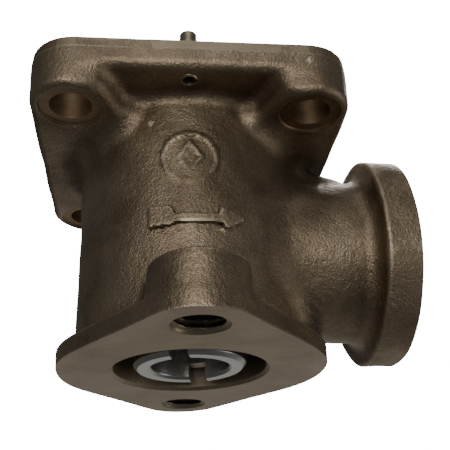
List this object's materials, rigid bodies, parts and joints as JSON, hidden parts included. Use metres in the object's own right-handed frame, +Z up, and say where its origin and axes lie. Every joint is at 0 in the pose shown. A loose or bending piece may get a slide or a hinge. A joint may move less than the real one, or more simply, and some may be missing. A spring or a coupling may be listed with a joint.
{
  "type": "steam trap",
  "caption": "Cast steam trap with a square four-bolt inlet flange, side pipe outlet and two-bolt service flange, holding a bimetal valve unit in a slotted sleeve.",
  "frame": {"origin": "centre of the overall outline on the lower flange's face, on the plane that it stands on", "axes": "+Z up along the barrel to the square inlet flange, +X towards the side outlet, -Y the side with the flow arrow"},
  "size_m": [0.0908, 0.0922, 0.0741],
  "materials": {
    "cast_bronze": "sand-cast bronze, brown, matt, with machined faces of the same metal",
    "stainless": "turned stainless steel",
    "hardened": "ground hardened steel",
    "spring_steel": "rolled spring steel, dull",
    "bimetal": "stamped bimetal strip",
    "screen": "perforated stainless sheet",
    "graphite": "graphite gasket sheet"
  },
  "bodies": {
    "housing": {"body": "cast_bronze", "locating_pin": "spring_steel", "sleeve": "stainless", "sleeve_gasket": "graphite", "seat_gasket": "graphite", "valve_seat": "hardened", "base_washer": "stainless", "strainer_screen": "screen", "retaining_ring": "spring_steel"},
    "valve": {"valve_stem": "stainless", "valve_ball": "hardened", "thrust_washer": "stainless", "adjusting_nut": "stainless", "lock_nut": "stainless"},
    "disc_1": {"bimetal_disc_1": "bimetal"},
    "disc_2": {"bimetal_disc_2": "bimetal"},
    "disc_3": {"bimetal_disc_3": "bimetal"},
    "disc_4": {"bimetal_disc_4": "bimetal"},
    "disc_5": {"bimetal_disc_5": "bimetal"},
    "disc_6": {"bimetal_disc_6": "bimetal"},
    "disc_7": {"bimetal_disc_7": "bimetal"},
    "disc_8": {"bimetal_disc_8": "bimetal"}
  },
  "joints": [
    {"name": "valve_lift", "type": "slide", "parent": "housing", "child": "valve", "axis": [0, 0, 1], "range_m": [0, 0.0022]},
    {"name": "disc_1_rise", "type": "slide", "parent": "housing", "child": "disc_1", "axis": [0, 0, 1], "range_m": [0, 0.0001375]},
    {"name": "disc_2_rise", "type": "slide", "parent": "housing", "child": "disc_2", "axis": [0, 0, 1], "range_m": [0, 0.0004125]},
    {"name": "disc_3_rise", "type": "slide", "parent": "housing", "child": "disc_3", "axis": [0, 0, 1], "range_m": [0, 0.0006875]},
    {"name": "disc_4_rise", "type": "slide", "parent": "housing", "child": "disc_4", "axis": [0, 0, 1], "range_m": [0, 0.0009625]},
    {"name": "disc_5_rise", "type": "slide", "parent": "housing", "child": "disc_5", "axis": [0, 0, 1], "range_m": [0, 0.00124]},
    {"name": "disc_6_rise", "type": "slide", "parent": "housing", "child": "disc_6", "axis": [0, 0, 1], "range_m": [0, 0.00151]},
    {"name": "disc_7_rise", "type": "slide", "parent": "housing", "child": "disc_7", "axis": [0, 0, 1], "range_m": [0, 0.00179]},
    {"name": "disc_8_rise", "type": "slide", "parent": "housing", "child": "disc_8", "axis": [0, 0, 1], "range_m": [0, 0.00206]}
  ],
  "couplings": [
    {"joint": "disc_1_rise", "follows": "valve_lift", "ratio": 0.0625},
    {"joint": "disc_2_rise", "follows": "valve_lift", "ratio": 0.1875},
    {"joint": "disc_3_rise", "follows": "valve_lift", "ratio": 0.3125},
    {"joint": "disc_4_rise", "follows": "valve_lift", "ratio": 0.4375},
    {"joint": "disc_5_rise", "follows": "valve_lift", "ratio": 0.5625},
    {"joint": "disc_6_rise", "follows": "valve_lift", "ratio": 0.6875},
    {"joint": "disc_7_rise", "follows": "valve_lift", "ratio": 0.8125},
    {"joint": "disc_8_rise", "follows": "valve_lift", "ratio": 0.9375}
  ]
}
